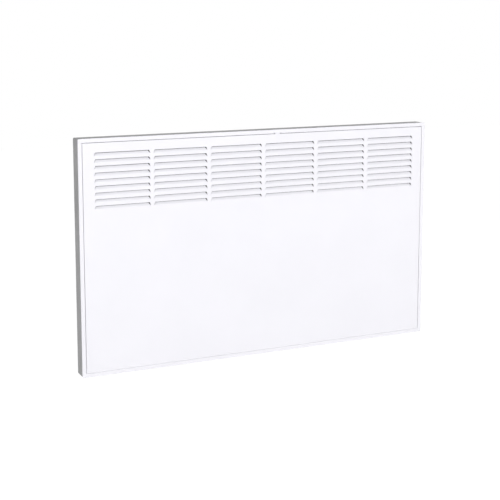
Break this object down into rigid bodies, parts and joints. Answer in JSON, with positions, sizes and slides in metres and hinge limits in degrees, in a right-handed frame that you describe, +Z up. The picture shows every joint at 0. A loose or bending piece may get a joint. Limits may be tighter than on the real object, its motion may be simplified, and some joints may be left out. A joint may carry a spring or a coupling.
{
  "type": "wall panel convector heater",
  "caption": "Flat wall-hung convector heater with a white louvred front in a narrow border, grey casing, side thermostat knob and switch, on a steel lift-off bracket.",
  "frame": {"origin": "middle of the wall bracket's back face, on the wall", "axes": "+X to the heater's right as seen from the room, +Y into the wall, +Z up; the louvred front faces -Y"},
  "size_m": [0.75, 0.0803, 0.4519],
  "materials": {
    "white_paint": "smooth semi-gloss white powder coat",
    "grey_paint": "satin mid-grey powder coat",
    "galvanised_steel": "hot-dip galvanised sheet with a faint spangle",
    "aluminised_steel": "bright aluminised sheet",
    "dark_coat": "matt black heat-proof coat",
    "cast_aluminium": "bare extruded aluminium, slightly dull",
    "ceramic": "unglazed off-white ceramic",
    "dark_plastic": "black moulded plastic, fine texture",
    "white_plastic": "off-white moulded plastic",
    "zinc_plate": "zinc-plated steel",
    "rubber_pad": "black rubber",
    "copper_tube": "drawn copper",
    "brown_lead": "brown silicone sleeving",
    "black_lead": "black silicone sleeving",
    "blue_lead": "blue silicone sleeving",
    "green_lead": "green silicone sleeving"
  },
  "bodies": {
    "bracket": {"wall_bracket": "galvanised_steel"},
    "knob": {"thermostat_knob": "white_plastic", "thermostat_spindle": "zinc_plate"},
    "rocker": {"power_rocker": "dark_plastic"},
    "heater": {"air_deflector": "dark_coat", "back_pan": "galvanised_steel", "casing_ring": "grey_paint", "cheek_screw_1": "zinc_plate", "cheek_screw_2": "zinc_plate", "cheek_screw_3": "zinc_plate", "cheek_screw_4": "zinc_plate", "control_fascia": "white_plastic", "cord_gland": "dark_plastic", "duct_cheek_left": "galvanised_steel", "duct_cheek_right": "galvanised_steel", "earth_screw": "zinc_plate", "element_bush_left": "ceramic", "element_bush_right": "ceramic", "fascia_screw_1": "zinc_plate", "fascia_screw_2": "zinc_plate", "front_border": "white_paint", "front_panel": "white_paint", "front_screw_1": "zinc_plate", "front_screw_2": "zinc_plate", "gland_nut": "dark_plastic", "heat_shield": "aluminised_steel", "heating_element": "cast_aluminium", "inlet_grille": "grey_paint", "lead_clip_1": "zinc_plate", "lead_clip_2": "zinc_plate", "lead_clip_3": "zinc_plate", "lead_cutout": "black_lead", "lead_earth": "green_lead", "lead_element": "black_lead", "lead_live": "brown_lead", "lead_neutral": "blue_lead", "lead_switched": "black_lead", "panel_catch": "white_paint", "panel_clip_bottom_left": "zinc_plate", "panel_clip_bottom_right": "zinc_plate", "panel_clip_left": "zinc_plate", "panel_clip_right": "zinc_plate", "panel_clip_top": "zinc_plate", "panel_stiffener": "white_paint", "rear_screw_1": "zinc_plate", "rear_screw_2": "zinc_plate", "rear_screw_3": "zinc_plate", "rear_screw_4": "zinc_plate", "rear_screw_5": "zinc_plate", "rear_screw_6": "zinc_plate", "room_sensor": "copper_tube", "sensor_clip": "zinc_plate", "switch_housing": "dark_plastic", "terminal_block": "white_plastic", "thermal_cutout": "dark_plastic", "thermostat_body": "dark_plastic", "wall_pad_left": "rubber_pad", "wall_pad_right": "rubber_pad"}
  },
  "joints": [
    {"name": "heater_lift", "type": "slide", "parent": "bracket", "child": "heater", "axis": [0, 0, 1], "range_m": [0, 0.014]},
    {"name": "thermostat_turn", "type": "hinge", "parent": "heater", "child": "knob", "pos_m": [0.3561, -0.0323, -0.085], "axis": [-1, 0, 0], "range_deg": [0, 270]},
    {"name": "power_switch", "type": "hinge", "parent": "heater", "child": "rocker", "pos_m": [0.3526, -0.0323, -0.14], "axis": [0, -1, 0], "range_deg": [0, 16]}
  ]
}
